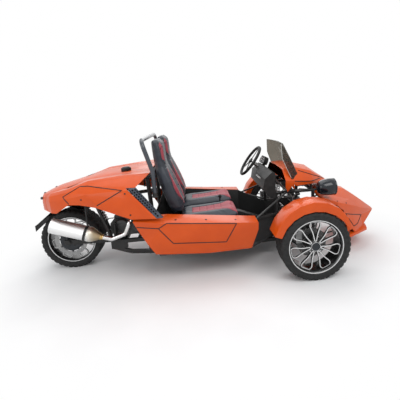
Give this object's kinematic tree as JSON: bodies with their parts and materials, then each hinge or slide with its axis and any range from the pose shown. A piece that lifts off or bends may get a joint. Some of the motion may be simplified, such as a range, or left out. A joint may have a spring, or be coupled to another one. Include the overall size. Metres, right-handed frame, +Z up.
{
  "type": "three-wheel roadster",
  "caption": "Open two-seat three-wheel roadster with faceted body panels, steered cycle-fendered front wheels and one chain-driven rear wheel.",
  "frame": {"origin": "on the ground, at the bottom centre of the bounding box", "axes": "+X forward, +Y to the vehicle's left, +Z up"},
  "size_m": [3.4902, 1.701, 1.2799],
  "materials": {
    "tyre": "matt black rubber",
    "rim": "gloss black lacquered alloy",
    "disc": "ground steel",
    "cast": "as cast",
    "paint": "orange gloss paint",
    "frame": "satin black paint",
    "spring": "silver spring and damper",
    "steel": "zinc plated",
    "tub": "black laminate",
    "trim": "black moulding",
    "engine": "painted casting",
    "exhaust": "polished steel",
    "vinyl": "black vinyl",
    "hoop": "blue-black gloss paint",
    "rubber": "soft black",
    "lamp": "gloss black shell",
    "screen": "smoked",
    "lens": "red lens"
  },
  "bodies": {
    "chassis": {"front_arms": "frame", "front_coilovers": "spring", "front_frame": "frame", "main_frame": "frame", "floor_tub": "tub", "sill_right": "paint", "sill_left": "paint", "engine_deck": "paint", "tail_flank_right": "paint", "tail_flank_left": "paint", "side_vents": "trim", "nose": "paint", "hood": "paint", "swingarm": "frame", "rear_caliper": "cast", "rear_shock": "spring", "engine": "engine", "front_sprocket": "steel", "drive_chain": "steel", "silencer": "exhaust", "exhaust_pipe": "exhaust", "rear_mudguard": "trim", "seat_back_right": "vinyl", "seat_back_left": "vinyl", "seat_cushion_right": "vinyl", "seat_cushion_left": "vinyl", "seat_risers": "frame", "roll_hoops": "hoop", "console": "trim", "steering_column": "steel", "dash": "trim", "pedals": "steel", "headlamps": "lamp", "windscreen": "screen", "deck_cap": "trim", "tail_lamp": "lens"},
    "knuckle_right": {"knuckle_front_right": "cast", "fender_front_right": "paint"},
    "knuckle_left": {"knuckle_front_left": "cast", "fender_front_left": "paint"},
    "front_wheel_right": {"tyre_front_right": "tyre", "wheel_front_right": "rim", "disc_front_right": "disc"},
    "front_wheel_left": {"tyre_front_left": "tyre", "wheel_front_left": "rim", "disc_front_left": "disc"},
    "rear_wheel": {"tyre_rear": "tyre", "wheel_rear": "rim", "rear_sprocket": "steel", "disc_rear": "disc"},
    "rack": {"tie_rods": "steel"},
    "wheel_of_steering": {"steering_wheel": "rubber"}
  },
  "joints": [
    {"name": "steer_right", "type": "hinge", "parent": "chassis", "child": "knuckle_right", "pos_m": [0.82, -0.668, 0.298], "axis": [0, 0, 1], "range_deg": [-28, 28]},
    {"name": "steer_left", "type": "hinge", "parent": "chassis", "child": "knuckle_left", "pos_m": [0.82, 0.668, 0.298], "axis": [0, 0, 1], "range_deg": [-28.5, 28.5]},
    {"name": "rack_slide", "type": "slide", "parent": "chassis", "child": "rack", "axis": [0, 1, 0], "range_m": [-0.056, 0.056]},
    {"name": "steering_wheel_turn", "type": "hinge", "parent": "chassis", "child": "wheel_of_steering", "pos_m": [0.49094, 0.2499, 0.9], "axis": [-0.7923, 0, 0.6102], "range_deg": [-255, 255]},
    {"name": "spin_front_right", "type": "hinge", "parent": "knuckle_right", "child": "front_wheel_right", "pos_m": [0.82, -0.748, 0.298], "axis": [0, 1, 0], "continuous": true},
    {"name": "spin_front_left", "type": "hinge", "parent": "knuckle_left", "child": "front_wheel_left", "pos_m": [0.82, 0.748, 0.298], "axis": [0, 1, 0], "continuous": true},
    {"name": "spin_rear", "type": "hinge", "parent": "chassis", "child": "rear_wheel", "pos_m": [-1.42, 0, 0.298], "axis": [0, 1, 0], "continuous": true}
  ],
  "couplings": [
    {"joint": "steer_left", "follows": "steer_right", "ratio": 1},
    {"joint": "rack_slide", "follows": "steer_right", "m_per_rad": 0.1075},
    {"joint": "steering_wheel_turn", "follows": "steer_right", "ratio": 9}
  ]
}
